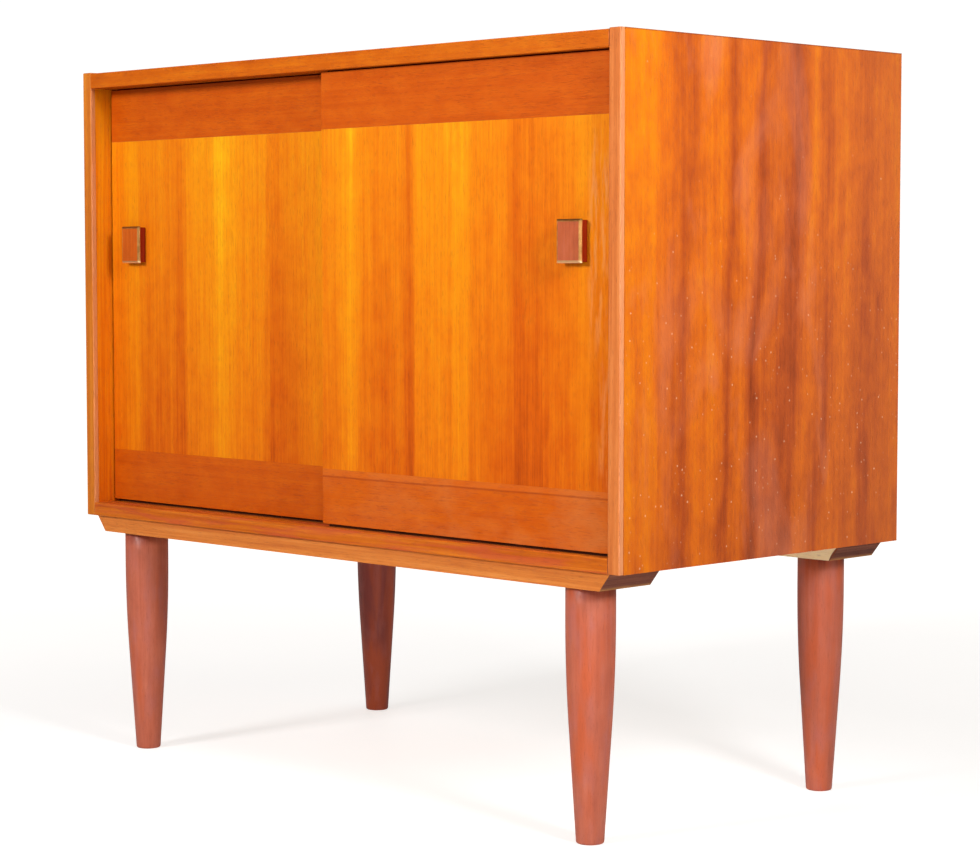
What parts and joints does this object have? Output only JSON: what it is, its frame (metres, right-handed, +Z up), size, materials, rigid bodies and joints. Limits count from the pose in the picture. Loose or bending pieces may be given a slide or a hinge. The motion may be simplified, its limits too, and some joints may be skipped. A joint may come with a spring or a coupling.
{
  "type": "sewing table cabinet",
  "caption": "Low teak cabinet for sewing things, with sliding doors that pass each other, an adjustable shelf inside, bevelled foot rails and round tapered legs.",
  "frame": {"origin": "on the floor, at the middle of the whole footprint, the front knob included", "axes": "+X to the right seen from the front, along the width; +Y from the doors to the back; +Z up"},
  "size_m": [0.8, 0.4206, 0.747],
  "materials": {
    "teak_side_veneer": "oiled teak veneer, satin",
    "teak_lipping": "oiled solid teak, satin",
    "teak_solid": "oiled solid teak, satin",
    "door_veneer": "oiled matched teak veneer, upright grain",
    "door_band_veneer": "oiled teak veneer, level grain",
    "foot_rail_teak": "oiled solid teak, stained ends, raw inner face",
    "leg_teak": "turned solid teak, red-brown, satin",
    "plywood": "plain plywood",
    "beech": "waxed beech",
    "dark_wood": "dark stained wood",
    "knob_teak": "oiled teak inlay",
    "knob_brass": "pale satin brass",
    "brass": "plain brass",
    "steel": "zinc-plated steel"
  },
  "bodies": {
    "carcass": {"left_side_panel": "teak_side_veneer", "right_side_panel": "teak_side_veneer", "left_side_lipping": "teak_lipping", "right_side_lipping": "teak_lipping", "top_panel": "teak_side_veneer", "bottom_panel": "teak_side_veneer", "top_track_rail": "teak_solid", "bottom_track_rail": "teak_solid", "back_panel": "plywood", "back_panel_screws": "steel", "carcass_dowels": "beech", "shelf": "teak_side_veneer", "shelf_lipping": "teak_lipping", "shelf_pins": "brass", "front_foot_rail": "foot_rail_teak", "rear_foot_rail": "foot_rail_teak", "foot_rail_screws": "steel", "front_left_leg": "leg_teak", "front_right_leg": "leg_teak", "rear_left_leg": "leg_teak", "rear_right_leg": "leg_teak", "leg_bolts": "steel", "leg_inserts": "brass"},
    "left_door": {"left_door_panel": "door_veneer", "left_door_top_band": "door_band_veneer", "left_door_bottom_band": "door_band_veneer", "left_door_top_guide": "beech", "left_door_bottom_runner": "beech", "left_door_knob_neck": "dark_wood", "left_door_knob_rim": "knob_brass", "left_door_knob_inlay": "knob_teak", "left_door_knob_screw": "steel"},
    "right_door": {"right_door_panel": "door_veneer", "right_door_top_band": "door_band_veneer", "right_door_bottom_band": "door_band_veneer", "right_door_top_guide": "beech", "right_door_bottom_runner": "beech", "right_door_knob_neck": "dark_wood", "right_door_knob_rim": "knob_brass", "right_door_knob_inlay": "knob_teak", "right_door_knob_screw": "steel"}
  },
  "joints": [
    {"name": "left_door_slide", "type": "slide", "parent": "carcass", "child": "left_door", "axis": [1, 0, 0], "range_m": [0, 0.155]},
    {"name": "right_door_slide", "type": "slide", "parent": "carcass", "child": "right_door", "axis": [-1, 0, 0], "range_m": [0, 0.155]}
  ]
}
